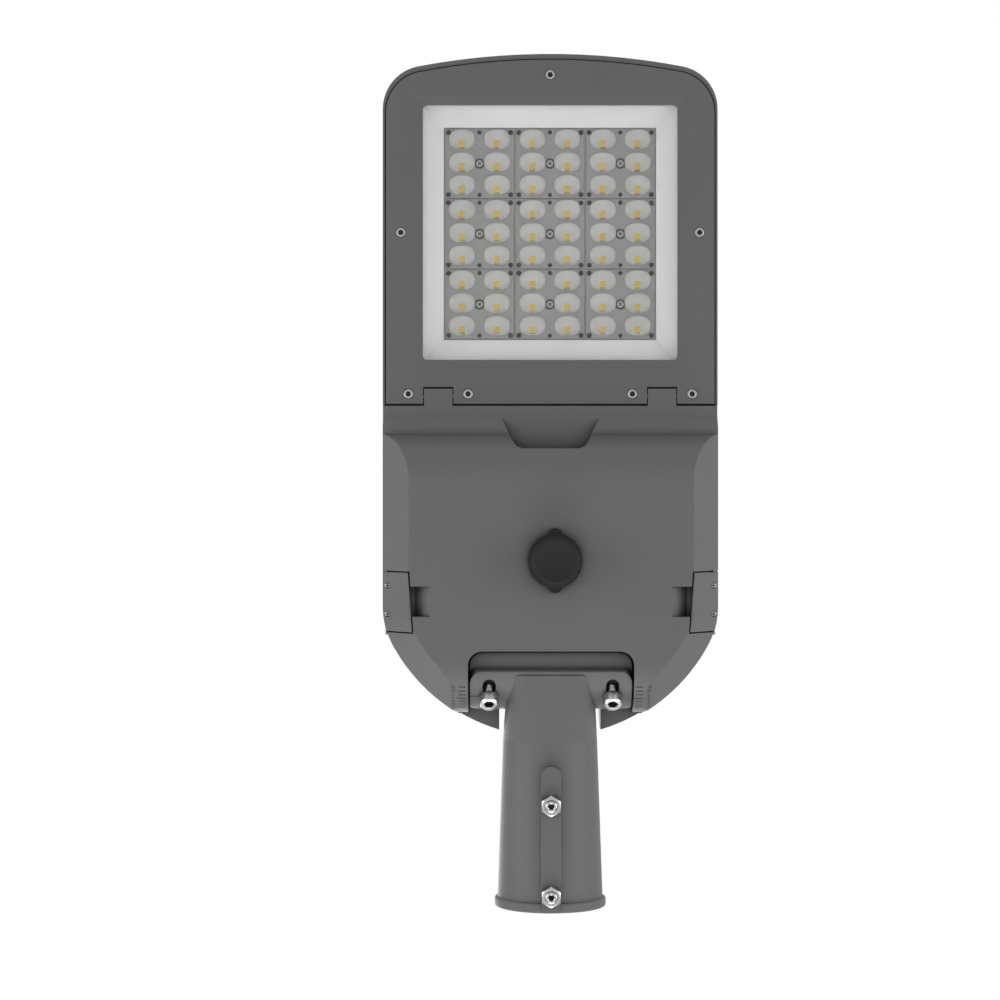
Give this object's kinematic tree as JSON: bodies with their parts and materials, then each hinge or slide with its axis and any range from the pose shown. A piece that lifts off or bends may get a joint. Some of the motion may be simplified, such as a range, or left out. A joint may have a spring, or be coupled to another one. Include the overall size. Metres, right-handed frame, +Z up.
{
  "type": "led street light",
  "caption": "Flat LED street light head with a glazed lens field, a latched gear door with a capped sensor socket, and a tilting pole spigot.",
  "frame": {"origin": "centre of the pole bore's mouth", "axes": "+Y from the bore's mouth into the head, +Z up, the light shines along -Z"},
  "size_m": [0.2366, 0.6022, 0.124],
  "materials": {
    "body_paint": "satin powder coat",
    "frame_paint": "satin powder coat",
    "zinc_steel": "bright zinc plate",
    "screw_steel": "satin stainless",
    "board_white": "white solder mask",
    "led_yellow": "yellow phosphor",
    "lens_clear": "clear acrylic over a pale board",
    "reflector_white": "white matt",
    "clear_glass": "clear toughened",
    "seal_rubber": "matt silicone",
    "black_plastic": "fine grained black",
    "tray_steel": "galvanised sheet",
    "driver_white": "white case",
    "grey_plastic": "light grey case",
    "brass_screw": "plain brass"
  },
  "bodies": {
    "spigot_body": {"spigot": "body_paint", "set_screws": "zinc_steel", "lock_nuts": "zinc_steel"},
    "head": {"housing": "body_paint", "spigot_bolts": "zinc_steel", "led_board": "board_white", "led_chips": "led_yellow", "lens_module_1": "lens_clear", "lens_module_2": "lens_clear", "lens_module_3": "lens_clear", "lens_module_4": "lens_clear", "lens_module_5": "lens_clear", "lens_module_6": "lens_clear", "lens_module_7": "lens_clear", "lens_module_8": "lens_clear", "lens_module_9": "lens_clear", "lens_screws": "screw_steel", "reflector": "reflector_white", "glass": "clear_glass", "glass_gasket": "seal_rubber", "glass_frame": "frame_paint", "frame_gasket": "seal_rubber", "frame_screws": "screw_steel", "lead_gland": "black_plastic", "gear_tray": "tray_steel", "tray_screws": "zinc_steel", "driver": "driver_white", "driver_screws": "zinc_steel", "surge_protector": "grey_plastic", "terminal_block": "driver_white", "cable_clamp": "black_plastic", "clamp_screws": "zinc_steel", "breather": "black_plastic", "earth_screw": "brass_screw"},
    "gear_door": {"door": "body_paint", "door_gasket": "seal_rubber", "hinge_pin_left": "screw_steel", "hinge_pin_right": "screw_steel", "sensor_socket": "black_plastic", "socket_gasket": "seal_rubber", "socket_nut": "black_plastic", "latch_pin_left": "screw_steel", "latch_pin_right": "screw_steel"},
    "latch_arm_left": {"latch_left": "body_paint", "latch_hook_left": "screw_steel", "latch_screws_left": "screw_steel"},
    "latch_arm_right": {"latch_right": "body_paint", "latch_hook_right": "screw_steel", "latch_screws_right": "screw_steel"},
    "cap": {"dust_cap": "black_plastic"}
  },
  "joints": [
    {"name": "head_tilt", "type": "hinge", "parent": "spigot_body", "child": "head", "pos_m": [0, 0.177, 0], "axis": [1, 0, 0], "range_deg": [-15, 15]},
    {"name": "door_hinge", "type": "hinge", "parent": "head", "child": "gear_door", "pos_m": [0, 0.36, -0.0025], "axis": [1, 0, 0], "range_deg": [0, 90]},
    {"name": "latch_right_swing", "type": "hinge", "parent": "gear_door", "child": "latch_arm_right", "pos_m": [0.1158, 0.2158, -0.0056], "axis": [0, -1, 0], "range_deg": [0, 50]},
    {"name": "latch_left_swing", "type": "hinge", "parent": "gear_door", "child": "latch_arm_left", "pos_m": [-0.1158, 0.2158, -0.0056], "axis": [0, 1, 0], "range_deg": [0, 50]},
    {"name": "cap_twist", "type": "hinge", "parent": "gear_door", "child": "cap", "pos_m": [-0.0027, 0.245, -0.0445], "axis": [0, 0, -1], "range_deg": [0, 30]}
  ]
}
